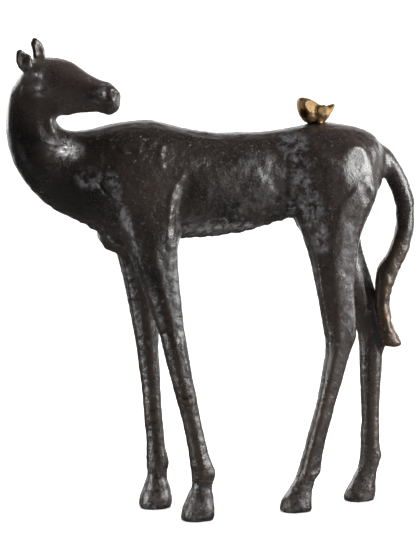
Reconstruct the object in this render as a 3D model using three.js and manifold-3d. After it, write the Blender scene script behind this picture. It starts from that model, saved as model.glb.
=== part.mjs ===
// A cast statuette of a long-legged horse that looks back over its near shoulder at a small gilded bird
// perched on its rump.
// Millimetres, +Z up. The horse faces -X, its near side faces -Y, and its hooves stand on z = 0.
import * as THREE from "three";
import { mergeVertices } from "three/addons/utils/BufferGeometryUtils.js";
import Module from "manifold-3d";

const wasm = await Module();
wasm.setup();

// Finishes
const BRONZE = { color: 0x2c2824, roughness: 0.42, metalness: 0.75 };
const GILT = { color: 0xc79a4a, roughness: 0.25, metalness: 1.0 };

// Trunk, from the dock along the back and up the neck to the poll.
// Each station gives its [x, z] on the top line and on the belly or throat line, and its half width.
const TRUNK = {
  seat: { top: [180, 352], bottom: [179, 338], half: 8 },
  dock: { top: [173, 376], bottom: [173, 322], half: 23 },
  croup: { top: [158, 386], bottom: [159, 304], half: 36 },
  rump: { top: [135, 391.5], bottom: [134, 291], half: 46 },
  hips: { top: [108, 392], bottom: [108, 293], half: 48 },
  flank: { top: [76, 387], bottom: [81, 297], half: 42 },
  loin: { top: [41, 384], bottom: [41, 286], half: 42 },
  back: { top: [5, 384], bottom: [5, 281], half: 44 },
  girth: { top: [-31, 389], bottom: [-31, 279], half: 46 },
  withers: { top: [-61, 397], bottom: [-65, 277], half: 47 },
  shoulder: { top: [-91, 395], bottom: [-101, 281], half: 45 },
  breast: { top: [-116, 389], bottom: [-126, 295], half: 39 },
  neckBase: { top: [-135, 387], bottom: [-154, 309], half: 32 },
  neckLow: { top: [-147, 389], bottom: [-177, 327], half: 28 },
  neckMiddle: { top: [-154, 396], bottom: [-196, 355], half: 25 },
  neckHigh: { top: [-156, 405], bottom: [-203, 387], half: 23 },
  throat: { top: [-155, 416], bottom: [-202, 415], half: 22 },
  nape: { top: [-157, 430], bottom: [-195, 434], half: 19 },
  poll: { top: [-164, 441], bottom: [-184, 445], half: 11 },
};
const TRUNK_POWER = 2.15;

// Legs: heights above the ground, depth from front to back and width across, level by level.
const FORELEG = {
  blade: { z: 368, depth: 46, width: 28 },
  point: { z: 350, depth: 70, width: 42 },
  shoulder: { z: 330, depth: 77, width: 46 },
  upperArm: { z: 302, depth: 67, width: 44 },
  elbow: { z: 270, depth: 51, width: 37 },
  forearm: { z: 232, depth: 38, width: 30 },
  aboveKnee: { z: 190, depth: 27.5, width: 25.5 },
  knee: { z: 158, depth: 23.5, width: 23.5 },
  cannon: { z: 110, depth: 20, width: 20 },
  aboveFetlock: { z: 66, depth: 20.5, width: 20 },
  fetlock: { z: 46, depth: 24, width: 22.5 },
  pastern: { z: 33, depth: 21.5, width: 20 },
  coronet: { z: 18, depth: 31, width: 26 },
  hoof: { z: 4, depth: 36.5, width: 31 },
  sole: { z: 0, depth: 35, width: 29 },
};
const HIND_LEG = {
  croup: { z: 370, depth: 50, width: 28 },
  hip: { z: 354, depth: 84, width: 42 },
  haunch: { z: 334, depth: 97, width: 49 },
  thigh: { z: 312, depth: 87, width: 48 },
  stifle: { z: 286, depth: 67, width: 41 },
  gaskin: { z: 260, depth: 52, width: 34 },
  lowGaskin: { z: 225, depth: 40, width: 29 },
  aboveHock: { z: 200, depth: 35.5, width: 26.5 },
  hock: { z: 177, depth: 32, width: 25 },
  belowHock: { z: 157, depth: 26, width: 23 },
  cannon: { z: 110, depth: 20.5, width: 20 },
  aboveFetlock: { z: 62, depth: 20.5, width: 20 },
  fetlock: { z: 42, depth: 23.5, width: 22.5 },
  pastern: { z: 27, depth: 24, width: 20.5 },
  coronet: { z: 14, depth: 31, width: 26 },
  hoof: { z: 3.5, depth: 35.5, width: 30 },
  sole: { z: 0, depth: 34, width: 28 },
};

// Pose of each leg: [x, y, z] of its middle line at the joints, from the top to the ground.
const NEAR_FORE = [
  [-71, -19, 370],
  [-73, -24, 330],
  [-64, -28, 270],
  [-39, -28, 158],
  [-14, -28, 46],
  [-15.5, -28, 33],
  [-20.5, -28, 0],
];
const FAR_FORE = [
  [-71, 19, 370],
  [-73, 24, 330],
  [-67, 28, 270],
  [-56.5, 32, 158],
  [-47, 34, 46],
  [-47.5, 34, 33],
  [-49.5, 34, 0],
];
const NEAR_HIND = [
  [122, -18, 370],
  [121, -24, 334],
  [119, -23, 286],
  [125, -20.5, 225],
  [130.5, -18, 177],
  [128, -17, 157],
  [117, -16, 110],
  [99.5, -16, 42],
  [87, -16, 14],
  [85.5, -16, 0],
];
const FAR_HIND = [
  [124, 18, 370],
  [124, 24, 334],
  [131, 23, 286],
  [157, 19, 225],
  [175.5, 16, 177],
  [175, 15, 42],
  [166, 15, 14],
  [163.5, 15, 0],
];
const BRISKET = { middle: [-88, 8, 290], half: [26, 30, 27] }; // lump low on the chest, before the far leg
const LEG_POWER = 2.1;
const LEG_CREST = 0.07; // how far the ridge down each leg's outer rear stands out, as a share of its radius
const LEG_CREST_ANGLE = THREE.MathUtils.degToRad(50); // from the rear of the leg towards its outer side

// Tail: [x, y, z] of its middle line and its thickness, from the dock to the tuft.
const TAIL = {
  root: { at: [160, 0, 366], thick: 30 },
  dock: { at: [181, 0, 354.5], thick: 25.5 },
  upperBend: { at: [198.5, 0, 330], thick: 20 },
  outerBend: { at: [206, 0, 299], thick: 18.5 },
  lowerBend: { at: [201, 0, 266], thick: 18 },
  slope: { at: [186.5, 1, 237], thick: 17.5 },
  waist: { at: [181.5, 2, 210], thick: 13.5 },
  tuftNeck: { at: [185, 2, 188], thick: 12.5, level: true },
  tuft: { at: [189.5, 2, 174.5], thick: 14.5, level: true },
  tuftEnd: { at: [193, 2, 164.5], thick: 18, level: true },
};
const TAIL_FLATNESS = 0.92; // its width across over its thickness

// Head in its own frame: x forward to the muzzle, z up to the forehead, y across.
const HEAD_AT = [-174, -4, 431];
const HEAD_TURN = THREE.MathUtils.degToRad(-36); // from straight back towards the near side
const HEAD_ROLL = THREE.MathUtils.degToRad(22); // its crown leans to the near side
const HEAD = {
  nape: { x: -15, top: 14, bottom: -8, half: 9 },
  poll: { x: -6, top: 23.5, bottom: -18, half: 17 },
  brow: { x: 10, top: 26.5, bottom: -27, half: 21 },
  cheek: { x: 25, top: 25.5, bottom: -31, half: 21.5 },
  eyeLine: { x: 38, top: 21.5, bottom: -28.5, half: 18.5 },
  nasalBone: { x: 52, top: 12, bottom: -27, half: 14.5 },
  bridge: { x: 64, top: 5.5, bottom: -27, half: 12.5 },
  nostril: { x: 74, top: 1.5, bottom: -28.5, half: 13 },
  lip: { x: 81.5, top: -2.5, bottom: -26.5, half: 11 },
  nose: { x: 85, top: -10, bottom: -20, half: 5.5 },
};
const HEAD_POWER = 2.35;
const HEAD_EGG = 0.14; // how much wider the forehead is than the jaw
const SOCKET = { at: [34, 17.8, 17], half: [7.5, 4, 5] };
const EYE = { at: [34, 13, 13.6], half: [5, 5, 4] };
const NOSTRIL = { at: [82, 7.5, -6.5], half: [2.8, 3, 3.4] };
const MOUTH = { from: 64, reach: 26, z: -20.5, half: 1.1 };
const EAR = { at: [2, 14.5, 19], length: 25, width: 15, thick: 8 };
const EAR_LEAN = THREE.MathUtils.degToRad(9); // back from upright
const EAR_SPLAY = THREE.MathUtils.degToRad(5); // outwards from upright
const EAR_TWIST = THREE.MathUtils.degToRad(34); // both open to the near side
const EAR_HOLLOW = { at: [4, 0, 12.5], half: [3.4, 4.5, 10] };
// Share of the ear's width at each share of its length, from inside the skull to the tip.
const EAR_OUTLINE = [
  [-0.25, 0.5],
  [0, 0.74],
  [0.3, 0.97],
  [0.55, 0.97],
  [0.82, 0.64],
  [1, 0.16],
];

// Bird: each station gives its x along the bird, its top, its bottom and its half width, above its feet.
const BIRD_AT_X = 109.5;
const BIRD_GAP = 0.3; // clearance between the bird and the rump
const BIRD = {
  beak: { x: -19.5, top: 22, bottom: 15, half: 3.5 },
  face: { x: -17.5, top: 25, bottom: 9, half: 7.5 },
  crown: { x: -13.5, top: 26, bottom: 2.5, half: 10 },
  nape: { x: -8, top: 25, bottom: 0, half: 11 },
  back: { x: -2, top: 21.5, bottom: 0, half: 11 },
  rump: { x: 4, top: 18, bottom: 0, half: 9.5 },
  tailRoot: { x: 9, top: 17, bottom: 1, half: 7.5 },
  tail: { x: 13.5, top: 18, bottom: 6.5, half: 6 },
  fan: { x: 17.5, top: 19.3, bottom: 12, half: 5 },
  tailTip: { x: 19.5, top: 18.7, bottom: 15.5, half: 3 },
};
const BIRD_FOOT = { x: 2, y: 6.5, radius: 3.4, height: 6 };
const BIRD_FOOT_TAPER = 0.7;
const BIRD_WING = { at: [5, 8, 11.5], half: [8.5, 3.6, 7] };
const BIRD_WING_TILT = THREE.MathUtils.degToRad(18);
const BIRD_POWER = 2.1;

// Facets
const TRUNK_SIDES = 24;
const LEG_SIDES = 14;
const HEAD_SIDES = 20;
const TAIL_SIDES = 10;
const EAR_SIDES = 10;
const BIRD_SIDES = 14;
const SPHERE_FACETS = [14, 9]; // round and from pole to pole

const vector = (xyz) => new THREE.Vector3(...xyz);

/** One point of a superellipse ring, whose upper half `egg` widens. */
function ringPoint(ring, angle, { power = 2, egg = 0 }) {
  const soften = (value) => Math.sign(value) * Math.abs(value) ** (2 / power);
  const across = soften(Math.cos(angle));
  const up = soften(Math.sin(angle));
  return ring.middle
    .clone()
    .addScaledVector(ring.across, across * (1 + egg * up))
    .addScaledVector(ring.up, up);
}

/** Rings between the stations, on smooth curves through their middles and half axes. */
function smoothRings(stations, steps) {
  const curve = (key) => new THREE.CatmullRomCurve3(stations.map((s) => s[key]), false, "catmullrom", 0.5);
  const [middle, across, up] = ["middle", "across", "up"].map(curve);
  const count = (stations.length - 1) * steps;
  return Array.from({ length: count + 1 }, (_, i) => ({
    middle: middle.getPoint(i / count),
    across: across.getPoint(i / count),
    up: up.getPoint(i / count),
  }));
}

/** A closed skin through rings, a fan at each end; `crest` lifts the point at each ring's first angle. */
function loft(stations, { sides, steps = 2, start = 0, crest = 0, ...shape }) {
  const rings = smoothRings(stations, steps);
  const positions = [];
  for (const ring of rings) {
    for (let i = 0; i < sides; i++) {
      const point = ringPoint(ring, start + (i * 2 * Math.PI) / sides, shape);
      if (i === 0) point.sub(ring.middle).multiplyScalar(1 + crest).add(ring.middle);
      positions.push(...point.toArray());
    }
  }
  const last = rings.length - 1;
  const [head, tail] = [rings.length * sides, rings.length * sides + 1];
  positions.push(...rings[0].middle.toArray(), ...rings[last].middle.toArray());
  const triangles = [];
  for (let i = 0; i < sides; i++) {
    const j = (i + 1) % sides;
    triangles.push([head, j, i], [tail, last * sides + i, last * sides + j]);
    for (let r = 0; r < last; r++) {
      const [a, b, c, d] = [r * sides + i, r * sides + j, (r + 1) * sides + j, (r + 1) * sides + i];
      triangles.push([a, b, c], [a, c, d]);
    }
  }
  const advance = rings[1].middle.clone().sub(rings[0].middle);
  const facesOut = rings[0].across.clone().cross(rings[0].up).dot(advance) > 0;
  if (!facesOut) triangles.forEach((t) => t.reverse());
  const geometry = new THREE.BufferGeometry();
  geometry.setAttribute("position", new THREE.Float32BufferAttribute(positions, 3));
  geometry.setIndex(triangles.flat());
  return geometry;
}

/** An ellipsoid of the given half axes. */
function ellipsoid(middle, half) {
  const geometry = new THREE.SphereGeometry(1, ...SPHERE_FACETS);
  return geometry.scale(...half).translate(...middle);
}

function toSolid(geometry) {
  const bare = new THREE.BufferGeometry();
  bare.setAttribute("position", geometry.getAttribute("position"));
  bare.setIndex(geometry.getIndex());
  const merged = mergeVertices(bare, 1e-4);
  return new wasm.Manifold(
    new wasm.Mesh({
      numProp: 3,
      vertProperties: new Float32Array(merged.getAttribute("position").array),
      triVerts: new Uint32Array(merged.getIndex().array),
    }),
  );
}

function toGeometry(solid) {
  const mesh = solid.getMesh();
  const geometry = new THREE.BufferGeometry();
  geometry.setAttribute("position", new THREE.BufferAttribute(mesh.vertProperties, mesh.numProp));
  geometry.setIndex(new THREE.BufferAttribute(mesh.triVerts, 1));
  geometry.computeVertexNormals();
  return geometry;
}

const join = (solids) => solids.reduce((whole, solid) => whole.add(solid));
const cut = (solid, tools) => tools.reduce((rest, tool) => rest.subtract(tool), solid);

/** A ring across the middle plane, from its [x, z] at the top to its [x, z] at the bottom. */
const uprightRing = (top, bottom, half) => ({
  middle: new THREE.Vector3((top[0] + bottom[0]) / 2, 0, (top[1] + bottom[1]) / 2),
  across: new THREE.Vector3(0, half, 0),
  up: new THREE.Vector3((top[0] - bottom[0]) / 2, 0, (top[1] - bottom[1]) / 2),
});

/** A lengthwise loft of rings that stand at x, each with its own top, bottom and half width. */
function lengthwise(levels, shape) {
  const ringAt = ({ x, top, bottom, half }) => uprightRing([x, top], [x, bottom], half);
  return toSolid(loft(Object.values(levels).map(ringAt), shape));
}

// Trunk and neck
function trunk() {
  const rings = Object.values(TRUNK).map(({ top, bottom, half }) => uprightRing(top, bottom, half));
  return toSolid(loft(rings, { sides: TRUNK_SIDES, power: TRUNK_POWER }));
}

/** The leg's middle at a height, on straight lines between the joints of its pose. */
function poseAt(joints, z) {
  const below = joints.findIndex((joint) => joint[2] <= z);
  if (below <= 0) return vector(joints[0]).setZ(z);
  const [upper, lower] = [joints[below - 1], joints[below]];
  return vector(upper).lerp(vector(lower), (upper[2] - z) / (upper[2] - lower[2]));
}

function leg(levels, joints) {
  const side = Math.sign(joints[0][1]);
  const rings = Object.values(levels).map(({ z, depth, width }) => ({
    middle: poseAt(joints, z),
    across: new THREE.Vector3(depth / 2, 0, 0),
    up: new THREE.Vector3(0, (side * width) / 2, 0),
  }));
  const shape = { sides: LEG_SIDES, power: LEG_POWER, start: LEG_CREST_ANGLE, crest: LEG_CREST };
  return toSolid(loft(rings, shape));
}

/** The tail hangs in a curve; the rings of its tuft lie level. */
function tail() {
  const marks = Object.values(TAIL);
  const line = new THREE.CatmullRomCurve3(marks.map((mark) => vector(mark.at)));
  const rings = marks.map(({ thick, level }, i) => {
    const share = i / (marks.length - 1);
    const square = new THREE.Vector3(0, 1, 0).cross(line.getTangent(share)).normalize();
    return {
      middle: line.getPoint(share),
      across: new THREE.Vector3(0, (TAIL_FLATNESS * thick) / 2, 0),
      up: (level ? new THREE.Vector3(-1, 0, 0) : square).multiplyScalar(thick / 2),
    };
  });
  return toSolid(loft(rings, { sides: TAIL_SIDES, steps: 3 }));
}

// Head, in its own frame. Its near side is -1 and its far side is 1.
const BOTH_SIDES = [-1, 1];
const onSide = ([x, y, z], side) => [x, side * y, z];

/** A leaf-shaped ear with a hollow in its forward face. */
function ear(side) {
  const rings = EAR_OUTLINE.map(([along, share]) => ({
    middle: new THREE.Vector3(0, 0, along * EAR.length),
    across: new THREE.Vector3((share * EAR.thick) / 2, 0, 0),
    up: new THREE.Vector3(0, (share * EAR.width) / 2, 0),
  }));
  const leaf = toSolid(loft(rings, { sides: EAR_SIDES }));
  const hollow = toSolid(ellipsoid(EAR_HOLLOW.at, EAR_HOLLOW.half));
  const place = new THREE.Matrix4()
    .makeRotationFromEuler(new THREE.Euler(-side * EAR_SPLAY, -EAR_LEAN, -EAR_TWIST, "YXZ"))
    .setPosition(...onSide(EAR.at, side));
  return cut(leaf, [hollow]).transform(place.elements);
}

function head() {
  const pairOf = ({ at, half }) => BOTH_SIDES.map((side) => toSolid(ellipsoid(onSide(at, side), half)));
  const mouth = new THREE.CylinderGeometry(1, 1, 2 * HEAD.cheek.half, 4);
  mouth.scale(MOUTH.reach, 1, MOUTH.half).translate(MOUTH.from + MOUTH.reach, 0, MOUTH.z);
  const skull = lengthwise(HEAD, { sides: HEAD_SIDES, power: HEAD_POWER, egg: HEAD_EGG });
  const carved = cut(skull, [...pairOf(SOCKET), ...pairOf(NOSTRIL), toSolid(mouth)]);
  const place = new THREE.Matrix4()
    .makeRotationFromEuler(new THREE.Euler(HEAD_ROLL, 0, HEAD_TURN, "ZYX"))
    .setPosition(...HEAD_AT);
  return join([carved, ...pairOf(EYE), ...BOTH_SIDES.map(ear)]).transform(place.elements);
}

function horse() {
  const forelegs = [NEAR_FORE, FAR_FORE].map((joints) => leg(FORELEG, joints));
  const hindLegs = [NEAR_HIND, FAR_HIND].map((joints) => leg(HIND_LEG, joints));
  const brisket = toSolid(ellipsoid(BRISKET.middle, BRISKET.half));
  return join([trunk(), brisket, ...forelegs, ...hindLegs, tail(), head()]);
}

// Bird, with its feet on z = 0
function bird() {
  const body = lengthwise(BIRD, { sides: BIRD_SIDES, power: BIRD_POWER });
  const wings = BOTH_SIDES.map((side) => {
    const wing = ellipsoid([0, 0, 0], BIRD_WING.half).rotateY(BIRD_WING_TILT);
    return toSolid(wing.translate(...onSide(BIRD_WING.at, side)));
  });
  const feet = BOTH_SIDES.map((side) => {
    const { x, y, radius, height } = BIRD_FOOT;
    const foot = new THREE.CylinderGeometry(BIRD_FOOT_TAPER * radius, radius, height, 10);
    return toSolid(foot.rotateX(Math.PI / 2).translate(x, side * y, height / 2));
  });
  return join([body, ...wings, ...feet]);
}

function mesh(name, solid, finish) {
  const made = new THREE.Mesh(toGeometry(solid), new THREE.MeshStandardMaterial(finish));
  made.name = name;
  return made;
}

const statuette = new THREE.Group();
const horseMesh = mesh("horse", horse(), BRONZE);
const birdMesh = mesh("bird", bird(), GILT);
birdMesh.position.set(BIRD_AT_X, 0, TRUNK.hips.top[1] + BIRD_GAP);
statuette.add(horseMesh, birdMesh);

// The origin is on the ground, under the middle of the statuette's box.
const box = new THREE.Box3().setFromObject(statuette);
const middle = box.getCenter(new THREE.Vector3());
statuette.position.set(-middle.x, -middle.y, -box.min.z);

const root = new THREE.Group();
root.add(statuette);
export default root;
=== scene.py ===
import math
import bpy
import numpy as np
from mathutils import Matrix, Vector, noise


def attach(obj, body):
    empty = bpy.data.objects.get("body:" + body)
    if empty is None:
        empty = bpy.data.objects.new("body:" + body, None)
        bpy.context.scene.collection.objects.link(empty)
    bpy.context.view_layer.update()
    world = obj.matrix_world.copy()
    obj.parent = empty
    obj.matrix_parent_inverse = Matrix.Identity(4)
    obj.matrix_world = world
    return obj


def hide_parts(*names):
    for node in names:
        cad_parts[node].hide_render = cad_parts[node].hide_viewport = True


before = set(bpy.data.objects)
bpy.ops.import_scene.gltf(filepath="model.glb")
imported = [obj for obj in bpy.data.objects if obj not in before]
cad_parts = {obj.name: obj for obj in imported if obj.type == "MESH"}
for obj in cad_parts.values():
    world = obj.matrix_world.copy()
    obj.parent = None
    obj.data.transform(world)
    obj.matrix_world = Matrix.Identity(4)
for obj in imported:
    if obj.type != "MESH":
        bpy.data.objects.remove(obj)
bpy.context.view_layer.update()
MM = 0.001

# A dark patinated horse, cast in one, and the small gilt bird on its rump.
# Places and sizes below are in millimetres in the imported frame: +X to the tail, -Y to the near side, +Z up.

# Camera
CAMERA_AIM = (-5.71, 4.06, 236.5)
CAMERA_AZIMUTH = math.radians(-14.0)
CAMERA_ELEVATION = math.radians(6.5)
CAMERA_DISTANCE = 1900.0
CAMERA_LENS = 122.14

# Studio sweep, in metres
FLOOR_WIDTH = 4.0
FLOOR_FRONT = -0.5
FLOOR_BACK = 1.2
FLOOR_SWEEP = 0.6
FLOOR_HEIGHT = 2.2
FLOOR_GAP = 0.0002
SWEEP_STEPS = 12
PAPER_WHITE = 0.9
ROOM_GLOW = 0.07
PAPER_GLOW = 0.3

# Lamps: place and aim in metres, width and height in metres, watts, and spread in degrees
LAMPS = {
    "right softbox": ((1.32, -0.68, 0.60), (0.03, 0, 0.28), 0.5, 1.0, 37, 180),
    "left softbox": ((-0.645, -0.186, 0.10), (0.06, 0, 0.10), 0.4, 0.18, 0.36, 48),
    "neck softbox": ((-0.087, -0.78, 1.29), (-0.161, -0.023, 0.368), 0.03, 0.022, 0.0030, 1.3),
    "head softbox": ((-1.25, -0.22, 0.63), (-0.182, -0.026, 0.440), 0.03, 0.03, 0.0007, 1.6),
    "belly card": ((0.03, -0.02, 0.004), (0.03, -0.02, 1.0), 0.18, 0.12, 0.018, 40),
    "floor card": ((0.62, -0.40, 0.004), (0.62, -0.40, 1.0), 0.5, 0.4, 1.2, 180),
    "rim softbox": ((1.02, 0.64, 0.36), (0.03, 0, 0.25), 0.4, 0.9, 3.3, 180),
    "back softbox": ((-0.75, 0.95, 0.75), (0, 0, 0.25), 0.6, 0.9, 10, 180),
    "overhead softbox": ((0, 0.45, 1.9), (0, 0.5, 0.0), 2.4, 1.4, 46, 180),
}
# Lamps that light the piece but don't mirror in it
UNMIRRORED_LAMPS = ("overhead softbox",)

# Patina, from the ground coat up, with the colours of the painted highlights and painted glints among it
PATINA_DEEP = (0.0035, 0.0028, 0.0026)
PATINA_CLOUD = (0.010, 0.0066, 0.0050)
PATINA_BROWN = (0.036, 0.026, 0.0222)
PATINA_SPECK = (0.060, 0.050, 0.047)
PAINTED_HIGHLIGHT = (0.145, 0.138, 0.147)
RUBBED_METAL = (0.14, 0.092, 0.056)
PAINTED_GLINT = (0.21, 0.185, 0.17)
PATINA_ROUGHNESS = 0.25
PATINA_SHINE = 0.6
PATINA_RELIEF = 0.5

# Gilding
GILT_DULL = (0.30, 0.184, 0.077)
GILT_BRIGHT = (0.345, 0.248, 0.137)
GILT_SPECK = (0.13, 0.065, 0.03)
GILT_HOLLOW_AND_SHADE = (0.08, 0.036, 0.012)
GILT_ROUGHNESS = 0.62
GILT_RELIEF = 0.3

# Spacing of the modelled skin
HORSE_SPACING = 1.88
BIRD_SPACING = 0.42

# Steps of the rounding that takes off facets and gives the volume back
ROUND_OFF = 0.6
GIVE_BACK = -0.62
# How squarely a point faces a rasp before the rasp takes its full cut
RASP_FACING = 0.35
# How strongly a beaded ridge rises and falls
BEAD_DEPTH = 1.6
BEAD_SEED = 21.0

# The plane of symmetry that the far side's plainer finish is mirrored in
MIDDLE_Y = 4.06
FAR_HEAD_SHARE = 0.45

# Middle lines of the legs from elbow or stifle to sole, and where the edges between their planed faces lie.
# An edge is given by its angle at the top and at the bottom, from the rear through the outer side.
LEGS = {
    "near_fore": {
        "line": [(-69.7, -23.9, 270), (-44.7, -23.9, 158), (-19.7, -23.9, 46), (-21.2, -23.9, 33),
                 (-26.2, -23.9, 0)],
        "outer": -1,
        "edges": [(29, 29), (97, 94), (118, 118), (148, 150), (194, 194), (280, 280), (355, 355)],
    },
    "far_fore": {
        "line": [(-72.7, 32.1, 270), (-62.2, 36.1, 158), (-52.7, 38.1, 46), (-53.2, 38.1, 33),
                 (-55.2, 38.1, 0)],
        "outer": 1,
        "edges": [(70, 70), (166, 166), (212, 208), (248, 248), (276, 276), (306, 306), (346, 346)],
    },
    "near_hind": {
        "line": [(113.3, -18.9, 286), (119.3, -16.4, 225), (124.8, -13.9, 177), (122.3, -12.9, 157),
                 (111.3, -11.9, 110), (93.8, -11.9, 42), (81.3, -11.9, 14), (79.8, -11.9, 0)],
        "outer": -1,
        "edges": [(27, 27), (106, 108), (124, 124), (152, 152), (194, 194), (288, 285), (355, 355)],
    },
    "far_hind": {
        "line": [(125.3, 27.1, 286), (151.3, 23.1, 225), (169.8, 20.1, 177), (169.3, 19.1, 42),
                 (160.3, 19.1, 14), (157.8, 19.1, 0)],
        "outer": 1,
        "edges": [(70, 70), (166, 166), (202, 202), (248, 248), (282, 282), (308, 308), (346, 346)],
    },
}
# How far from its middle line a leg reaches, by height
LEG_REACH = [(0, 26), (20, 23), (46, 17), (110, 15), (177, 22), (225, 27), (270, 38), (330, 50)]
LEG_TOP = 320
LEG_BORDER = 3  # width over which a leg's own skin fades into its neighbour's
LEG_PLANING = 0.85
LEG_LEVEL = 8  # height of the bands in which a leg's own reach is measured
LEG_LIFT = 0.03  # how far the edges between the planes stand out, as a share of the leg's radius
EDGE_WIDTH = 10  # degrees to each side of an edge in which its reach is measured
HOOF_TOP = 40
HOOF_PLANING = 0.35
WANDER_SIZE = 30  # height over which the depth of the planing comes and goes
WANDER_SHARE = 0.25

# Middle line of the tail, from the dock to the end of the tuft, and how far it reaches from it
TAIL = [(160, 4, 364), (175, 4, 354), (193, 4, 330), (200, 4, 299), (195, 4, 266), (181, 5, 237),
        (176, 6, 210), (179, 6, 188), (184, 6, 174), (187, 6, 164)]
TAIL_REACH = 12

# The head in its own frame, as it sits on the neck: x to the muzzle, z to the forehead, near side at -y
HEAD = (
    Matrix.Translation((-179.7, 0.06, 431.0))
    @ Matrix.Rotation(math.radians(-36), 4, "Z")
    @ Matrix.Rotation(math.radians(22), 4, "X")
)

# The raised line under the chest
BRISKET = [(-121, -18, 296), (-112, -7, 284), (-105, -11, 277), (-97, -11, 273)]

# Short raised scuffs over the shoulder
SHOULDER_SCUFFS = [
    [(-87, -36, 366), (-85, -35, 372), (-84, -33, 377)],
    [(-76, -34, 374), (-75, -34, 375)],
    [(-71, -33, 376), (-68, -31, 380), (-65, -29, 384)],
    [(-64, -35, 371), (-62, -34, 373)],
    [(-66, -37, 366), (-65, -38, 364)],
    [(-66, -41, 355), (-64, -41, 353)],
    [(-94, -36, 358), (-93, -37, 353)],
    [(-36, -29, 374), (-35, -29, 375)],
    [(-103, -33, 370), (-99, -34, 366)],
]

# Swellings of the leg joints: middle, reach and height
LEG_JOINTS = [
    ((-8, -26, 48), (9, 12, 12), 1.0),  # near fore fetlock
    ((-41, 36, 48), (9, 12, 12), 0.8),  # far fore fetlock
    ((106, -13, 38), (10, 12, 10), 1.4),  # near hind fetlock
    ((179, 16, 48), (7, 12, 8), 1.8),  # far hind fetlock
    ((137, -20, 178), (13, 14, 15), 1.2),  # near hock
    ((183, 16, 180), (12, 14, 15), 1.0),  # far hock
    ((176, 20, 238), (20, 20, 40), 3.0),  # far thigh
]

# Patches of painted highlight: middle, reach and strength
PAINTED_HIGHLIGHT_PATCHES = [
    ((30, -36, 352), (22, 20, 24), 0.8),  # ribs
    ((-156, -22, 370), (22, 18, 16), 1.6),  # base of the neck
    ((-134, -32, 342), (17, 16, 14), 2.4),  # point of the shoulder
    ((20, -24, 289), (85, 22, 9), 1.6),  # belly
    ((-178, -31, 440), (8, 10, 10), 2.0),  # brow
    ((-182, -27, 427), (16, 13, 10), 3.0),  # cheek
    ((-190, -20, 445), (10, 10, 11), 1.2),  # below the near ear
    ((-129, -47, 420), (9, 8, 8), 3.0),  # lip
    ((165, 18, 250), (24, 30, 45), 1.8),  # far thigh
    ((-113, -50, 421), (5, 6, 7), 2.5),  # wing of the nostril
    ((-127, -51, 424), (5, 6, 8), 2.0),  # fold of the muzzle
]


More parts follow.
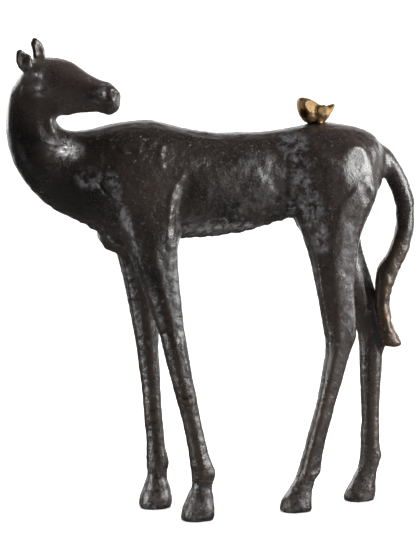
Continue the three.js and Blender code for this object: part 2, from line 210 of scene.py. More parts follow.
class Casting:
    """The skin of one cast piece as arrays that can be modelled by hand, in millimetres."""

    def __init__(self, node, name, spacing):
        rough = bpy.data.objects.new("rough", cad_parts[node].data.copy())
        bpy.context.scene.collection.objects.link(rough)
        remesh = rough.modifiers.new("skin", "REMESH")
        remesh.mode = "VOXEL"
        remesh.voxel_size = spacing * MM
        graph = bpy.context.evaluated_depsgraph_get()
        self.mesh = bpy.data.meshes.new_from_object(rough.evaluated_get(graph))
        bpy.data.objects.remove(rough)
        self.mesh.name = name
        self.mesh.materials.clear()
        self.name = name
        count = len(self.mesh.vertices)
        places = np.zeros(count * 3)
        self.mesh.vertices.foreach_get("co", places)
        self.at = places.reshape(-1, 3) / MM
        edges = np.zeros(len(self.mesh.edges) * 2, int)
        self.mesh.edges.foreach_get("vertices", edges)
        self.edges = edges.reshape(-1, 2)
        self.degree = np.bincount(self.edges.ravel(), minlength=count)[:, None]
        corners = np.zeros(len(self.mesh.polygons) * 4, int)
        self.mesh.polygons.foreach_get("vertices", corners)
        self.quads = corners.reshape(-1, 4)
        self.find_normals()

    def find_normals(self):
        a, b, c, d = (self.at[self.quads[:, i]] for i in range(4))
        across = np.cross(c - a, d - b)
        total = np.zeros_like(self.at)
        for i in range(4):
            for axis in range(3):
                total[:, axis] += np.bincount(self.quads[:, i], across[:, axis], len(self.at))
        self.normal = total / np.maximum(np.linalg.norm(total, axis=1, keepdims=True), 1e-9)

    def neighbours_mean(self, values):
        first, second = self.edges.T
        total = np.empty_like(values)
        for axis in range(values.shape[1]):
            column = values[:, axis]
            total[:, axis] = np.bincount(first, column[second], len(values))
            total[:, axis] += np.bincount(second, column[first], len(values))
        return total / self.degree

    def smooth(self, rounds):
        """Rounds off the facets and keeps the volume."""
        for _ in range(rounds):
            for step in (ROUND_OFF, GIVE_BACK):
                self.at = self.at + step * (self.neighbours_mean(self.at) - self.at)
        self.find_normals()

    def soften(self, rounds, share):
        """Melts the step where two forms meet; `share` is 1 where it melts and 0 where it holds."""
        for _ in range(rounds):
            self.at = self.at + 0.5 * share[:, None] * (self.neighbours_mean(self.at) - self.at)
        self.find_normals()

    def fade(self, middle, reach):
        """1 at a point, falling smoothly to 0 at `reach` from it; `reach` may differ along each axis."""
        away = np.linalg.norm((self.at - np.array(middle)) / np.array(reach), axis=1)
        return np.clip(1 - away**2, 0, None) ** 2

    def below(self, height, depth):
        """0 above a height, rising to 1 at `depth` below it."""
        return np.clip((height - self.at[:, 2]) / depth, 0, 1)

    def above(self, height, depth):
        """0 below a height, rising to 1 at `depth` above it."""
        return np.clip((self.at[:, 2] - height) / depth, 0, 1)

    def behind(self, start, depth):
        """0 in front of a place along the body, rising to 1 at `depth` behind it."""
        return np.clip((self.at[:, 0] - start) / depth, 0, 1)

    def facing(self, direction):
        towards = self.normal @ (np.array(direction) / np.linalg.norm(direction))
        return np.clip(towards / RASP_FACING, 0, 1)

    def away_from(self, path):
        """Distance of each point from a line through the points of `path`."""
        nearest = np.full(len(self.at), np.inf)
        for start, end in zip(path[:-1], path[1:]):
            start, end = np.array(start, float), np.array(end, float)
            span = end - start
            share = np.clip((self.at - start) @ span / (span @ span), 0, 1)
            nearest = np.minimum(nearest, np.linalg.norm(self.at - start - share[:, None] * span, axis=1))
        return nearest

    def along(self, path, width):
        """1 on a line, falling off softly within about `width` of it."""
        return np.exp(-((self.away_from(path) / width) ** 2))

    def push(self, height):
        self.at = self.at + height[:, None] * self.normal
        self.find_normals()

    def swell(self, middle, reach, height):
        self.push(height * self.fade(middle, reach))

    def stroke(self, path, width, height, beads=0.0):
        """A ridge along a line, or a groove if `height` is negative; it rises and falls every `beads`."""
        rise = height * self.along(path, width)
        if beads:
            rise = rise * (1 + BEAD_DEPTH * self.grain(beads, BEAD_SEED))
        self.push(rise)

    def plane_off(self, middle, normal, reach, share, drop=0.0, edge=1.0):
        """Flattens the skin round a point towards a plane, as with a rasp; a small `edge` is crisp."""
        normal = np.array(normal) / np.linalg.norm(normal)
        height = (self.at - np.array(middle)) @ normal + drop
        away = np.linalg.norm((self.at - np.array(middle)) / np.array(reach), axis=1)
        weight = np.clip((1 - away) / edge, 0, 1)
        weight = share * weight**2 * (3 - 2 * weight) * self.facing(normal)
        self.at = self.at - (weight * height)[:, None] * normal
        self.find_normals()

    def pull(self, middle, reach, move):
        self.at = self.at + self.fade(middle, reach)[:, None] * np.array(move)
        self.find_normals()

    def grain(self, size, seed):
        """Soft noise of one size at each point, from about -0.6 to 0.6."""
        offset = Vector((seed, 2.3 * seed, -1.7 * seed))
        return np.array([noise.noise(Vector(point) / size + offset) for point in self.at])

    def lumps(self, size, height, seed, share=1.0):
        """Uneven hand modelling: soft noise of one size, in and out of the skin."""
        self.push(height * share * self.grain(size, seed))

    def dabs(self, size, height, seed, share=1.0):
        """Shallow scallops left by dabs of wax."""
        offset = Vector((seed, -1.3 * seed, 0.7 * seed))
        first = [noise.voronoi(Vector(point) / size + offset)[0][0] for point in self.at]
        self.push(height * share * (np.array(first) ** 2 - 0.3))

    def stand_out(self, rounds):
        """How far each point stands out of the form around it, in millimetres."""
        form = self.at
        for _ in range(rounds):
            form = form + 0.5 * (self.neighbours_mean(form) - form)
        return np.einsum("ij,ij->i", self.at - form, self.normal)

    def attribute(self, name, values):
        layer = self.mesh.attributes.new(name, "FLOAT", "POINT")
        layer.data.foreach_set("value", np.asarray(values, np.float32))

    def finished(self, material):
        self.mesh.vertices.foreach_set("co", (self.at * MM).ravel())
        self.mesh.polygons.foreach_set("use_smooth", np.ones(len(self.mesh.polygons), bool))
        self.mesh.update()
        piece = bpy.data.objects.new(self.name, self.mesh)
        bpy.context.scene.collection.objects.link(piece)
        self.mesh.materials.append(material)
        return piece


def far_side(path):
    """The same line on the far side of the body."""
    return [(x, 2 * MIDDLE_Y - y, z) for x, y, z in path]


def far_side_of_head(path):
    """The same line on the far side of the turned head."""
    turned = []
    for point in path:
        own = HEAD.inverted() @ Vector(point)
        turned.append(tuple(HEAD @ Vector((own.x, -own.y, own.z))))
    return turned


def blend_limbs(horse):
    """Melts the seams of shoulders, haunches, neck, dock, jaw, eyelid and pasterns."""
    share = np.zeros(len(horse.at))
    for side in (1, -1):
        y = MIDDLE_Y - side * 38
        share = share + horse.fade((-80, y, 355), (60, 40, 50))
        share = share + horse.fade((118, y, 350), (66, 40, 48))
    share = share + horse.fade((-186, -8, 418), (30, 34, 34))
    share = share + horse.fade((168, 4, 352), (22, 26, 28))
    horse.soften(60, np.clip(share * 2, 0, 1))
    jaw = [(-197, -8, 435), (-193, -14, 430), (-189, -16, 425), (-183, -18, 418), (-174, -18, 410),
           (-165, -8, 402)]
    horse.soften(120, horse.along(jaw, 8))
    horse.soften(90, np.clip(horse.fade((-162, -37, 440), (22, 18, 15)) * 2, 0, 1))
    pasterns = np.exp(-(((horse.at[:, 2] - 24) / 12) ** 2))
    horse.soften(25, pasterns)


def shape_shoulder(horse):
    """The ridge behind the shoulder, the plane along its front with a notch at the top, and scuffs."""
    rear_ridge = [(-43, -41, 346), (-48, -42, 338), (-54, -42, 328), (-57, -42, 319), (-58, -42, 306),
                  (-58, -42, 290), (-57, -41, 267), (-52, -38, 232), (-47, -36, 200)]
    behind = [(-41, -42, 331), (-44, -41, 320), (-46, -40, 309), (-47, -36, 296)]
    front_edge = [(-125, -36, 337), (-117, -37, 327), (-109, -36, 310), (-101, -34, 290), (-92, -34, 267)]
    notch = [(-123, -35, 336), (-118, -37, 329), (-111, -38, 321)]
    rear_cuts = ((-50, 330, 0.7), (-52, 322, 0.95), (-54, 314, 0.8), (-55, 302, 0.5), (-55, 288, 0.4))
    front_cuts = ((-112, -38, 338), (-110, -38, 326), (-104, -37, 312), (-97, -36, 294), (-90, -36, 276))
    rear_face = (0.41, -0.90, 0.16)
    front_face = (-0.46, -0.88, -0.1)
    horse.stroke(behind, 10, -3.0)
    for x, z, share in rear_cuts:
        horse.plane_off((x, -42, z), rear_face, (8, 9, 11), share)
    horse.stroke(rear_ridge, 2.6, 1.1, beads=5.0)
    horse.stroke(front_edge, 6, -1.6)
    for middle in front_cuts:
        horse.plane_off(middle, front_face, (6, 11, 11), 0.6, drop=0.2)
    horse.stroke(notch, 2.8, -4.0)
    horse.stroke(BRISKET, 2.1, 2.4)
    horse.plane_off((-133, -33, 341), front_face, (14, 14, 11), 0.6)
    horse.lumps(4.5, 1.3, seed=31.0, share=horse.fade((-134, -32, 342), (16, 16, 13)))
    horse.lumps(4.5, 1.2, seed=33.0, share=horse.fade((-154, -22, 369), (20, 18, 14)))
    horse.stroke(far_side(behind), 8, -1.6)
    horse.stroke(far_side(rear_ridge[:7]), 5.0, 1.2)
    horse.stroke(far_side(front_edge), 6, -1.2)
    for scuff in SHOULDER_SCUFFS:
        horse.stroke(scuff, 1.9, 1.5)


def shape_haunch(horse):
    """The crease before the haunch, the ridges and planes of the thigh, and the flat facet of the rump."""
    crease = [(73, -10, 385), (67, -28, 371), (62, -36, 353), (61, -37, 333), (63, -31, 313)]
    slope = [(60, -28, 371), (57, -37, 352), (56, -38, 332), (57, -33, 316)]
    thigh_ridge = [(133, -42, 328), (123, -43, 320), (116, -42, 306), (113, -39, 288), (112, -36, 268),
                   (114, -33, 247), (118, -30, 222), (123, -28, 196), (129, -26, 177)]
    valley = [(103, -38, 290), (105, -37, 275), (107, -33, 252), (111, -30, 227), (116, -27, 199)]
    front_ridge = [(78, -37, 330), (84, -37, 313), (92, -36, 290), (99, -33, 268), (103, -28, 237),
                   (108, -24, 206)]
    thigh_cuts = ((127, -37, 286), (126, -34, 262), (128, -31, 238), (131, -28, 214), (135, -27, 194))
    thigh_face = (0.46, -0.88, 0.0)
    horse.stroke(slope, 21, -3.2)
    horse.stroke(crease[1:], 2.0, -2.6)
    horse.stroke([(x + 4, y, z) for x, y, z in crease[1:]], 2.2, 1.2)
    horse.stroke(valley, 6.5, -2.6)
    horse.stroke(front_ridge, 5.0, 1.2)
    for middle in thigh_cuts:
        horse.plane_off(middle, thigh_face, (16, 16, 22), 0.9, drop=0.3)
    horse.stroke(thigh_ridge, 2.6, 1.2)
    horse.plane_off((136, -42, 316), (0.04, -0.98, -0.19), (24, 14, 16), 0.8)
    horse.plane_off((147, -39, 322), (-0.04, -0.95, -0.30), (17, 14, 15), 0.9)
    horse.plane_off((135, -38, 360), (0.23, -0.97, 0.08), (23, 16, 25), 0.9, drop=0.2, edge=0.6)
    horse.stroke(far_side(slope), 14, -1.4)
    horse.stroke(far_side(crease), 4.0, -1.6)
    horse.stroke(far_side(thigh_ridge[:4]), 5.0, 1.4)
    horse.stroke(far_side(front_ridge[:4]), 6.0, 1.0)


def beside_leg(horse, leg):
    """Each point's place round a leg: offsets from its middle line, angle from its rear, share in it."""
    line = np.array(leg["line"])[::-1]
    height = horse.at[:, 2]
    back = horse.at[:, 0] - np.interp(height, line[:, 2], line[:, 0])
    out = (horse.at[:, 1] - np.interp(height, line[:, 2], line[:, 1])) * leg["outer"]
    radius = np.hypot(back, out)
    angle = np.degrees(np.arctan2(out, back)) % 360
    heights, reaches = zip(*LEG_REACH)
    own = np.clip(np.interp(height, heights, reaches) - radius, 0, LEG_BORDER) / LEG_BORDER
    clear_of_tail = np.clip((horse.away_from(TAIL) - TAIL_REACH) / LEG_BORDER, 0, 1)
    own = own * clear_of_tail * (height < LEG_TOP)
    return back, out, radius, angle, own


def plane_leg(horse, leg):
    """Cuts flat faces between the edges of a leg, which stay where they are."""
    back, out, radius, angle, own = beside_leg(horse, leg)
    height = horse.at[:, 2]
    low = horse.below(270, 230)
    edges = [top + low * (bottom - top) for top, bottom in leg["edges"]]
    reaches = []
    for edge in edges:
        beside = (np.abs((angle - edge + 180) % 360 - 180) < EDGE_WIDTH) & (own > 0.5)
        level = (height[beside] / LEG_LEVEL).astype(int)
        count = np.bincount(level)
        mean = np.bincount(level, radius[beside]) / np.maximum(count, 1)
        found = np.nonzero(count)[0]
        reaches.append(np.interp(height, (found + 0.5) * LEG_LEVEL, mean[found]))
    flat = radius
    for i in range(len(edges)):
        first, second = reaches[i - 1], reaches[i]
        span = np.radians((edges[i] - edges[i - 1]) % 360)
        within = np.radians((angle - edges[i - 1]) % 360)
        chord = first * second * np.sin(span) / (first * np.sin(within) + second * np.sin(span - within))
        flat = np.where(within < span, chord, flat)
    strength = LEG_PLANING * horse.below(310, 50) * np.where(height < HOOF_TOP, HOOF_PLANING, 1.0)
    wander = np.array([noise.noise(Vector((leg["line"][0][0], 0, z / WANDER_SIZE))) for z in height])
    change = own * strength * (1 + WANDER_SHARE * wander) * (flat * (1 + LEG_LIFT) - radius)
    sideways = np.zeros_like(horse.at)
    sideways[:, 0] = change * back / np.maximum(radius, 1)
    sideways[:, 1] = change * out * leg["outer"] / np.maximum(radius, 1)
    horse.at = horse.at + sideways
    horse.soften(3, own * (height > 35))


def shape_hoof(horse, leg):
    """The ring round the top of a hoof, and its edge drawn in above the ground."""
    back, _, _, _, own = beside_leg(horse, leg)
    slanted = horse.at[:, 2] + 0.12 * back
    ring = 0.4 * np.exp(-(((slanted - 25) / 4.0) ** 2)) - 0.4 * np.exp(-(((slanted - 33) / 4.0) ** 2))
    sole = -0.6 * horse.below(3.6, 3) * (np.abs(horse.normal[:, 2]) < 0.75)
    horse.push(own * (horse.at[:, 2] < 45) * (ring + sole))


def shape_legs(horse):
    knee_crease = [(-63, -30, 190), (-57, -36, 189), (-50, -36, 190)]
    shin_crease = [(-40, -34, 124), (-34, -34, 124)]
    shin_ridge = [(-47, -36, 200), (-43, -35, 178), (-37, -34, 150), (-30, -34, 118), (-22, -34, 84),
                  (-12, -34, 56)]
    hoof_chip = [(64, -15, 4), (67, -17, 12)]
    for leg in LEGS.values():
        plane_leg(horse, leg)
        shape_hoof(horse, leg)
    horse.stroke(knee_crease, 1.6, -0.8)
    horse.stroke(shin_crease, 2.0, -0.8)
    horse.stroke(shin_ridge, 2.4, 0.9, beads=5.0)
    for middle, reach, height in LEG_JOINTS:
        horse.swell(middle, reach, height)
    horse.stroke(hoof_chip, 2.4, -1.8)


def shape_tail(horse):
    """Fills out the tuft, planes its outer side and roughens the whole tail."""
    share = np.clip((TAIL_REACH + 2 - horse.away_from(TAIL)) / 3, 0, 1) * horse.behind(168, 8)
    low = horse.below(270, 40)
    outer_face = (0.42, -0.90, 0.08)
    horse.push(share * (0.5 + 1.7 * low))
    for x, z in ((186, 250), (181, 235), (177, 218), (176, 202), (179, 186)):
        horse.plane_off((x, -5, z), outer_face, (10, 10, 13), 0.7)
    horse.lumps(16, 1.0, seed=11.0, share=share)
    horse.lumps(5, 1.2, seed=12.0, share=share * low)
    horse.dabs(9, 0.6, seed=4.0, share=share)


def shape_head(horse):
    """Features of both sides of the head, fainter on the far one; then neck, cheek and ears."""
    eye_hollow = [(-172, -34, 440)]
    lid = [(-169, -35, 445), (-163, -36, 447), (-157, -36, 446)]
    fold = [(-124, -47, 430), (-125, -51, 425), (-125, -52, 420), (-128, -49, 418), (-132, -46, 418),
            (-136, -43, 418)]
    groove = [(-120, -50, 428), (-120, -52, 424), (-121, -53, 419)]
    wing = [(-116, -51, 424), (-115, -52, 420), (-115, -52, 417)]
    nostril = [(-116, -51, 426), (-113, -49, 426), (-110, -47, 424)]
    mouth = [(-135, -41, 414), (-126, -47, 413), (-119, -50, 413)]
    lines = (
        (lid, 3.0, 0.3), (fold, 2.2, 1.5), (groove, 2.2, -1.8),
        (wing, 2.0, 0.9), (nostril, 1.5, -1.6), (mouth, 1.8, -0.9),
    )
    for turn, share in ((list, 1.0), (far_side_of_head, FAR_HEAD_SHARE)):
        horse.swell(turn(eye_hollow)[0], (8, 8, 6), -1.2 * share)
        for path, width, height in lines:
            horse.stroke(turn(path), width, height * share)
    throat_face = (-0.08, -0.99, 0.02)
    for middle in ((-172, -17, 408), (-172, -17, 396), (-170, -17, 386)):
        horse.plane_off(middle, throat_face, (13, 13, 14), 0.75)
    behind_lip, chin = (-132, -45, 425), (-117, -43, 405)
    horse.swell(behind_lip, 8, -1.4)
    horse.swell(chin, 9, 1.2)
    brow, cheek = (-179, -30, 440), (-182, -26, 427)
    cheek_face = (-0.71, -0.69, 0.14)
    horse.plane_off(brow, cheek_face, (10, 11, 11), 0.75)
    horse.plane_off(cheek, cheek_face, (16, 14, 12), 1.0)
    jaw_line = [(-193, -20, 440), (-191, -18, 428), (-188, -17, 418), (-181, -16, 409)]
    horse.stroke(jaw_line, 5, -1.0)
    horse.swell((-195, -16, 414), 5, 1.0)
    # Ears drawn back, and their hollows planed in
    near_ear, far_ear = (-194, -22, 453), (-176, 0, 464)
    horse.pull((-191, -21, 455), 8, (2.5, 1.0, 1.5))
    horse.pull((-183, 1, 464), 7, (2.5, 0, 0))
    horse.plane_off(near_ear, (-0.3, -0.95, -0.1), (9, 11, 12), 0.95, drop=1.0, edge=0.6)
    horse.plane_off(far_ear, (0.40, -0.90, 0.1), (6, 7, 10), 0.5, drop=0.6, edge=0.5)
    horse.lumps(3.5, 1.3, seed=41.0, share=horse.fade(far_ear, (7, 8, 11)))


def find_parts(horse):
    """How far each point belongs to a part of the horse, from 0 to 1."""
    return {
        "head": np.clip(horse.fade((-158, -22, 432), (75, 60, 60)) * 2, 0, 1),
        "neck": np.clip(horse.fade((-205, -10, 370), (55, 60, 75)) * 2, 0, 1),
        "chest": horse.fade((-150, -25, 325), (50, 50, 50)),
        "facet": horse.fade((135, -38, 357), (26, 22, 30)),
        "legs": horse.below(285, 40),
    }


def roughen(horse, parts):
    """Uneven modelling over all the skin, quieter on head, neck, chest and the rump's facet."""
    legs = parts["legs"]
    quiet = np.clip(np.maximum(parts["head"], parts["neck"]) + parts["chest"] + parts["facet"], 0, 1)
    calm = 1 - 0.75 * quiet
    under = np.clip(-horse.normal[:, 2], 0, 1) * (horse.at[:, 2] > 265)
    side = horse.fade((30, -36, 350), (60, 30, 34)) + horse.fade((120, -38, 345), (70, 30, 60))
    horse.lumps(36, 1.1, seed=3.0, share=calm)
    horse.lumps(15, 0.5, seed=7.0, share=calm * (1 - 0.6 * legs))
    horse.lumps(6.5, 0.35, seed=9.0, share=calm * (0.6 + 4.0 * under + 0.4 * np.clip(side, 0, 1)))
    horse.lumps(4.2, 0.36, seed=8.0, share=calm)
    horse.dabs(12, 0.4, seed=5.0, share=calm * (1 - 0.3 * legs))
    horse.smooth(2)


def paint_warmth(horse, tail_end):
    """Where handling has rubbed raised metal warm: low on the legs, tuft, far ear and a near shin."""
    lower = horse.below(330, 260) * horse.above(4, 6)
    far_ear = horse.fade((-177, 0, 464), (9, 9, 13))
    shin = horse.fade((-33, -34, 125), (9, 12, 14))
    warmth = 0.8 * lower + 1.8 * tail_end + 2.0 * far_ear + 2.0 * shin
    horse.attribute("warmth", np.clip(warmth, 0, 3.2))


def paint_highlights(horse, hooves):
    """Painted highlights in a pale colour: bands on flank, shoulder and thigh, patches, edges and hooves."""
    flank = [(71, -24, 377), (74, -37, 356), (80, -37, 333), (87, -36, 313), (94, -35, 293), (99, -33, 272)]
    shoulder = [(-114, -38, 342), (-104, -37, 312), (-90, -36, 272)]
    thigh = [(129, -36, 288), (130, -31, 238), (135, -27, 200)]
    rump_edge = [(150, -12, 381), (157, -17, 375), (160, -24, 361), (161, -26, 346), (158, -27, 325)]
    flank_width = np.interp(horse.at[:, 2], (290, 350), (8, 13))
    painted_highlight = np.clip(1.4 - horse.away_from(flank) / flank_width, 0, 1)
    painted_highlight = np.maximum(painted_highlight, np.clip(1.4 - horse.away_from(shoulder) / 6, 0, 1))
    painted_highlight = np.maximum(painted_highlight, 0.75 * np.clip(1.3 - horse.away_from(thigh) / 9, 0, 1))
    patches = np.zeros(len(horse.at))
    for middle, reach, strength in PAINTED_HIGHLIGHT_PATCHES:
        patches = patches + strength * horse.fade(middle, reach)
    # Thin painted highlights along the edge of the rump and the line under the chest
    edges = 0.7 * horse.along(rump_edge, 4) + horse.along(BRISKET, 1.6)
    painted_highlight = np.maximum(np.maximum(painted_highlight, 0.7 * patches), 0.35 * hooves)
    horse.attribute("painted_highlight", np.clip(painted_highlight + edges, 0, 2.5))


def paint_brown_and_shade(horse, parts):
    """The brownness of the patina: strongest on the head, then shoulder and hind legs; taken out low by the
    flank and in the near ear's hollow as painted shade.
    """
    legs = parts["legs"]
    front = np.maximum(parts["neck"], parts["chest"])
    rear = horse.behind(60, 60)
    brown_and_shade = 0.25 * (1 - legs) * (1 - front) + parts["head"]
    # Painted shade: the hollow of the near ear kept dark
    brown_and_shade = brown_and_shade - 0.8 * horse.fade((-193, -22, 453), (12, 14, 16))
    brown_and_shade = brown_and_shade + 0.5 * horse.fade((-75, -38, 335), (55, 40, 55))
    brown_and_shade = brown_and_shade + legs * (0.05 + 0.45 * rear) + 0.2 * rear * (1 - legs)
    # Painted shade: darker low on the side, under the flank
    brown_and_shade = brown_and_shade - 0.5 * horse.fade((40, -36, 308), (70, 40, 26))
    horse.attribute("brown_and_shade", np.clip(brown_and_shade, 0, 1))


def paint_texture(horse, parts, hooves, tail_end):
    """How strongly specks, wax texture and painted glints show in each place."""
    legs = parts["legs"]
    front = np.maximum(parts["neck"], parts["chest"])
    quiet = np.clip(front + 0.6 * legs, 0, 1)
    speckled = 0.3 + 0.2 * horse.above(300, 40) + 0.45 * hooves - 0.25 * quiet
    horse.attribute("speckled", np.clip(speckled, 0, 1))
    worn_smooth = np.clip(np.maximum(front, parts["head"]) + parts["facet"], 0, 1)
    horse.attribute("worked", 1 - 0.5 * worn_smooth)
    # Painted glints: light specks for small highlights, most on shoulder, hooves and tuft, few on neck and
    # chest
    shoulder = horse.fade((-75, -36, 360), (55, 30, 40))
    painted_glints = 0.4 - 0.15 * legs + 0.6 * shoulder + 0.4 * hooves + 0.6 * tail_end
    horse.attribute("painted_glints", np.clip(painted_glints - 0.5 * front, 0, 1))


def model_horse():
    horse = Casting("horse", "patinated_horse", HORSE_SPACING)
    horse.smooth(20)
    blend_limbs(horse)
    shape_shoulder(horse)
    shape_haunch(horse)
    shape_legs(horse)
    shape_tail(horse)
    shape_head(horse)
    parts = find_parts(horse)
    roughen(horse, parts)
    # The seat of the bird, and soles that stay above the ground
    horse.swell((104, 4, 391), (24, 18, 12), 1.2)
    horse.at[:, 2] = np.maximum(horse.at[:, 2], 0)
    horse.find_normals()
    horse.attribute("relief", np.clip(horse.stand_out(8) / 0.5, -1, 1))
    tail_end = np.clip((16 - horse.away_from(TAIL)) / 5, 0, 1) * horse.below(275, 20) * horse.behind(160, 8)
    hooves = horse.below(52, 20)
    paint_warmth(horse, tail_end)
    paint_highlights(horse, hooves)
    paint_brown_and_shade(horse, parts)
    paint_texture(horse, parts, hooves, tail_end)
    return horse


def model_bird():
    bird = Casting("bird", "gilt_bird", BIRD_SPACING)
    bird.smooth(10)
    # Foot drawn down into the rump, then the neck melted and the breast filled
    bird.pull((104, 4, 391.5), (16, 13, 7), (0, 0, -1.6))
    bird.soften(900, np.clip(3 * bird.fade((104.5, -6, 402.5), (8, 11, 10)), 0, 1))
    bird.swell((108, -4, 399), (9, 10, 7), 1.7)
    bird.lumps(9, 0.4, seed=3.0)
    # Flat facets of the wing and the breast, and the crease between them
    bird.plane_off((94, -7, 410), (0.36, -0.88, 0.30), (11, 9, 10), 0.85, drop=0.2, edge=0.4)
    bird.plane_off((107, -8, 405), (0.02, -0.97, 0.25), (9, 7, 7), 0.7, edge=0.5)
    bird.stroke([(104, -4, 413), (102.5, -7, 408), (101, -8, 403)], 0.7, -0.6)
    bird.swell((102, -7.5, 395), (5, 4, 3), 0.8)
    bird.lumps(3, 0.15, seed=5.0)
    # Painted shade: the bird's lower left and a smaller patch low on its right are darkened through its
    # relief
    dark = 0.9 * bird.fade((88, -4, 402), (8, 10, 9)) + 0.5 * bird.fade((112, -6, 399), (8, 8, 5))
    bird.attribute("relief", np.clip(bird.stand_out(8) / 0.12 - 1.6 * dark, -1, 1))
    return bird


# Shader helpers
def add(tree, kind, **values):
    node = tree.nodes.new(kind)
    for name, value in values.items():
        setattr(node, name, value)
    return node


def effect(name, takes, gives):
    """An empty shader group with named inputs and outputs; returns it with its two ends."""
    group = bpy.data.node_groups.new(name, "ShaderNodeTree")
    for taken, start in takes.items():
        socket = group.interface.new_socket(taken, in_out="INPUT", socket_type="NodeSocketFloat")
        socket.default_value = start
    for given in gives:
        group.interface.new_socket(given, in_out="OUTPUT", socket_type="NodeSocketFloat")
    return group, add(group, "NodeGroupInput"), add(group, "NodeGroupOutput")


def math_node(tree, operation, first, second):
    node = add(tree, "ShaderNodeMath", operation=operation)
    for socket, value in zip(node.inputs, (first, second)):
        if isinstance(value, (int, float)):
            socket.default_value = value
        else:
            tree.links.new(value, socket)
    return node.outputs[0]


def times(tree, first, second):
    return math_node(tree, "MULTIPLY", first, second)


def plus(tree, first, second):
    return math_node(tree, "ADD", first, second)


def minus(tree, first, second):
    return math_node(tree, "SUBTRACT", first, second)


def ramp(tree, value, low, high):
    """Spreads a value between `low` and `high` over 0 to 1, smoothly."""
    node = add(tree, "ShaderNodeMapRange", interpolation_type="SMOOTHSTEP")
    tree.links.new(value, node.inputs["Value"])
    node.inputs["From Min"].default_value = low
    node.inputs["From Max"].default_value = high
    return node.outputs["Result"]


def cloud(tree, scale, detail, roughness=0.55):
    """Soft noise over the object; `scale` is its fineness per metre, as a socket."""
    texture = add(tree, "ShaderNodeTexNoise")
    texture.inputs["Detail"].default_value = detail
    texture.inputs["Roughness"].default_value = roughness
    place = add(tree, "ShaderNodeTexCoord")
    tree.links.new(place.outputs["Object"], texture.inputs["Vector"])
    tree.links.new(scale, texture.inputs["Scale"])
    return texture.outputs["Fac"]


def painted(tree, name):
    """A value painted on the skin."""
    return add(tree, "ShaderNodeAttribute", attribute_name=name).outputs["Fac"]


def wax_texture():
    """Fine unevenness of the modelled wax: soft dabs, drag marks and pinholes, as a height."""
    group, start, end = effect("wax texture", {"Scale": 1.0, "Dabs": 1.0, "Pits": 0.5}, ["Height"])
    scale = start.outputs["Scale"]
    coarse = cloud(group, times(group, scale, 170), 3)
    fine = cloud(group, times(group, scale, 400), 4, 0.65)
    place = add(group, "ShaderNodeTexCoord")
    cells = add(group, "ShaderNodeTexVoronoi")
    group.links.new(place.outputs["Object"], cells.inputs["Vector"])
    group.links.new(times(group, scale, 330), cells.inputs["Scale"])
    pits = minus(group, 1, ramp(group, cells.outputs["Distance"], 0.05, 0.3))
    pits = times(group, pits, ramp(group, fine, 0.5, 0.66))
    pits = times(group, pits, start.outputs["Pits"])
    dabs = plus(group, times(group, coarse, 0.8), times(group, fine, 0.8))
    dabs = times(group, dabs, start.outputs["Dabs"])
    group.links.new(minus(group, dabs, pits), end.inputs["Height"])
    return group


def patina_mottle():
    """Cloudy patina: broad clouds, blotches and fine specks, and sparse dots for the painted glints."""
    group, start, end = effect("patina mottle", {"Scale": 1.0}, ["Clouds", "Blotches", "Specks", "Glints"])
    # Each mask: fineness per metre, detail, roughness, and the levels between which it rises
    masks = {
        "Clouds": (38, 5, 0.6, 0.35, 0.68),
        "Blotches": (130, 6, 0.72, 0.42, 0.66),
        "Specks": (420, 5, 0.7, 0.48, 0.66),
        "Glints": (300, 2, 0.5, 0.66, 0.73),
    }
    for name, (fineness, detail, roughness, low, high) in masks.items():
        grain = cloud(group, times(group, start.outputs["Scale"], fineness), detail, roughness)
        group.links.new(ramp(group, grain, low, high), end.inputs[name])
    return group


def high_and_low():
    """Where the surface stands out and is rubbed bright, and where it lies low and stays dark; on the bird,
    painted shade comes in through its relief as well.
    """
    group, start, end = effect("high and low", {"Break up": 0.5, "Scale": 1.0}, ["High", "Low"])
    relief = painted(group, "relief")
    grain = cloud(group, times(group, start.outputs["Scale"], 220), 3)
    shift = times(group, minus(group, grain, 0.5), start.outputs["Break up"])
    level = plus(group, relief, shift)
    group.links.new(ramp(group, level, 0.15, 0.75), end.inputs["High"])
    group.links.new(ramp(group, times(group, level, -1), 0.1, 0.8), end.inputs["Low"])
    return group


WAX_TEXTURE = wax_texture()
PATINA_MOTTLE = patina_mottle()
HIGH_AND_LOW = high_and_low()


def use(tree, group, **values):
    node = add(tree, "ShaderNodeGroup", node_tree=group)
    for name, value in values.items():
        node.inputs[name.replace("_", " ")].default_value = value
    return node.outputs


def mix_colours(tree, share, under, over):
    node = add(tree, "ShaderNodeMix", data_type="RGBA")
    tree.links.new(share, node.inputs["Factor"])
    for socket, colour in zip([s for s in node.inputs if s.type == "RGBA"], (under, over)):
        if isinstance(colour, tuple):
            socket.default_value = (*colour, 1)
        else:
            tree.links.new(colour, socket)
    return [s for s in node.outputs if s.type == "RGBA"][0]


def new_material(name):
    material = bpy.data.materials.new(name)
    material.use_nodes = True
    return material, material.node_tree, material.node_tree.nodes["Principled BSDF"]


def bump(tree, shader, height, distance):
    node = add(tree, "ShaderNodeBump")
    node.inputs["Distance"].default_value = distance * MM
    tree.links.new(height, node.inputs["Height"])
    tree.links.new(node.outputs["Normal"], shader.inputs["Normal"])


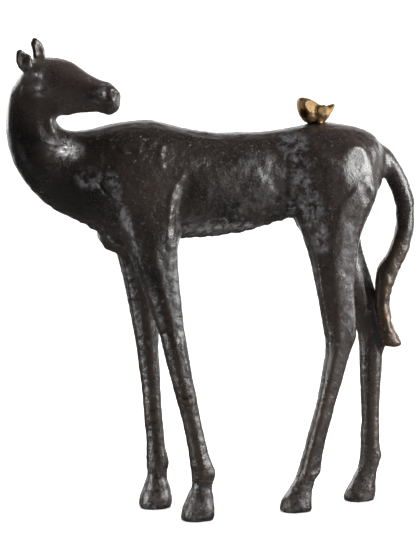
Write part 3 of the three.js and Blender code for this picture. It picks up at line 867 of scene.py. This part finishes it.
def dark_bronze():
    material, tree, shader = new_material("dark bronze patina")
    mottle = use(tree, PATINA_MOTTLE, Scale=1.0)
    relief = use(tree, HIGH_AND_LOW, Break_up=0.7, Scale=1.0)
    wax = use(tree, WAX_TEXTURE, Scale=1.0, Dabs=1.0, Pits=0.8)
    # Painted highlight: a pale colour where the skin catches light, broken up by blotches
    painted_highlight = times(tree, painted(tree, "painted_highlight"), mottle["Blotches"])
    rubbed = times(tree, relief["High"], painted(tree, "warmth"))
    speckled = times(tree, painted(tree, "speckled"), mottle["Specks"])
    # Painted glints: sparse light specks standing in for small highlights
    glints = times(tree, painted(tree, "painted_glints"), mottle["Glints"])
    colour = mix_colours(tree, mottle["Clouds"], PATINA_DEEP, PATINA_CLOUD)
    # Brown patina, with painted shade where its share is taken out
    colour = mix_colours(tree, painted(tree, "brown_and_shade"), colour, PATINA_BROWN)
    colour = mix_colours(tree, speckled, colour, PATINA_SPECK)
    colour = mix_colours(tree, painted_highlight, colour, PAINTED_HIGHLIGHT)
    colour = mix_colours(tree, times(tree, rubbed, 0.2), colour, RUBBED_METAL)
    colour = mix_colours(tree, glints, colour, PAINTED_GLINT)
    tree.links.new(colour, shader.inputs["Base Color"])
    rough = plus(tree, PATINA_ROUGHNESS, times(tree, mottle["Clouds"], 0.09))
    rough = plus(tree, rough, times(tree, relief["Low"], 0.2))
    rough = plus(tree, rough, times(tree, speckled, 0.1))
    tree.links.new(rough, shader.inputs["Roughness"])
    tree.links.new(times(tree, rubbed, 0.25), shader.inputs["Metallic"])
    shader.inputs["Specular IOR Level"].default_value = PATINA_SHINE
    bump(tree, shader, times(tree, wax["Height"], painted(tree, "worked")), PATINA_RELIEF)
    return material


def gilt():
    material, tree, shader = new_material("gilt")
    mottle = use(tree, PATINA_MOTTLE, Scale=3.0)
    relief = use(tree, HIGH_AND_LOW, Break_up=0.5, Scale=3.0)
    wax = use(tree, WAX_TEXTURE, Scale=3.0, Dabs=1.0, Pits=0.4)
    colour = mix_colours(tree, mottle["Clouds"], GILT_DULL, GILT_BRIGHT)
    colour = mix_colours(tree, times(tree, mottle["Specks"], 0.45), colour, GILT_SPECK)
    # Darker in the hollows, and painted shade on the bird's lower left, which comes in through its relief
    colour = mix_colours(tree, relief["Low"], colour, GILT_HOLLOW_AND_SHADE)
    tree.links.new(colour, shader.inputs["Base Color"])
    rough = plus(tree, GILT_ROUGHNESS, times(tree, relief["Low"], 0.15))
    tree.links.new(rough, shader.inputs["Roughness"])
    shader.inputs["Metallic"].default_value = 1.0
    bump(tree, shader, wax["Height"], GILT_RELIEF)
    return material


# Studio
def camera():
    data = bpy.data.cameras.new("camera")
    data.lens = CAMERA_LENS
    view = bpy.data.objects.new("camera", data)
    bpy.context.scene.collection.objects.link(view)
    back = Vector((
        math.sin(CAMERA_AZIMUTH) * math.cos(CAMERA_ELEVATION),
        -math.cos(CAMERA_AZIMUTH) * math.cos(CAMERA_ELEVATION),
        math.sin(CAMERA_ELEVATION),
    ))
    aim = Vector(CAMERA_AIM)
    view.location = (aim + CAMERA_DISTANCE * back) * MM
    view.rotation_euler = back.to_track_quat("Z", "Y").to_euler()
    bpy.context.scene.camera = view


def softbox(name, place, aim, width, height, watts, spread):
    data = bpy.data.lights.new(name, "AREA")
    data.shape = "RECTANGLE"
    data.size = width
    data.size_y = height
    data.energy = watts
    data.spread = math.radians(spread)
    lamp = bpy.data.objects.new(name, data)
    bpy.context.scene.collection.objects.link(lamp)
    lamp.location = place
    lamp.visible_camera = False
    lamp.visible_glossy = name not in UNMIRRORED_LAMPS
    lamp.rotation_euler = (Vector(place) - Vector(aim)).to_track_quat("Z", "Y").to_euler()


def pale_paper():
    """Matt white paper that glows a little and can be looked through from behind."""
    paper, tree, shader = new_material("pale paper")
    shader.inputs["Base Color"].default_value = (PAPER_WHITE, PAPER_WHITE, PAPER_WHITE, 1)
    shader.inputs["Roughness"].default_value = 0.9
    shader.inputs["Specular IOR Level"].default_value = 0.0
    shader.inputs["Emission Color"].default_value = (1, 1, 1, 1)
    shader.inputs["Emission Strength"].default_value = PAPER_GLOW
    behind = add(tree, "ShaderNodeNewGeometry").outputs["Backfacing"]
    tree.links.new(minus(tree, 1, behind), shader.inputs["Alpha"])
    return paper


def paper_sheet(name, profile, paper):
    """A sheet of pale paper as wide as the studio, along a profile of (y, z) in metres."""
    points = [(side * FLOOR_WIDTH / 2, y, z - FLOOR_GAP) for y, z in profile for side in (-1, 1)]
    faces = [(2 * i, 2 * i + 1, 2 * i + 3, 2 * i + 2) for i in range(len(profile) - 1)]
    mesh = bpy.data.meshes.new(name)
    mesh.from_pydata(points, [], faces)
    mesh.polygons.foreach_set("use_smooth", [True] * len(faces))
    mesh.materials.append(paper)
    sheet = bpy.data.objects.new(name, mesh)
    bpy.context.scene.collection.objects.link(sheet)
    return sheet


def studio_air():
    """White where the camera sees it, and a dim even glow for everything else."""
    world = bpy.data.worlds.new("studio air")
    world.use_nodes = True
    tree = world.node_tree
    air = tree.nodes["Background"]
    air.inputs["Color"].default_value = (1, 1, 1, 1)
    seen = add(tree, "ShaderNodeLightPath").outputs["Is Camera Ray"]
    tree.links.new(math_node(tree, "MAXIMUM", seen, ROOM_GLOW), air.inputs["Strength"])
    bpy.context.scene.world = world


def studio():
    paper = pale_paper()
    floor = paper_sheet("studio_floor", [(FLOOR_FRONT, 0.0), (FLOOR_BACK, 0.0)], paper)
    floor.visible_glossy = False
    sweep = [(FLOOR_BACK, 0.0)]
    for step in range(1, SWEEP_STEPS + 1):
        angle = math.radians(90 * step / SWEEP_STEPS)
        sweep.append((FLOOR_BACK + FLOOR_SWEEP * math.sin(angle), FLOOR_SWEEP * (1 - math.cos(angle))))
    sweep.append((FLOOR_BACK + FLOOR_SWEEP, FLOOR_HEIGHT))
    paper_sheet("studio_backdrop", sweep, paper)
    studio_air()
    for name, lamp in LAMPS.items():
        softbox(name, *lamp)


camera()
studio()
bpy.context.scene.view_settings.view_transform = "Standard"

horse_piece = model_horse().finished(dark_bronze())
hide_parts("horse")
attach(horse_piece, "root")

bird_piece = model_bird().finished(gilt())
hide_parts("bird")
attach(bird_piece, "root")
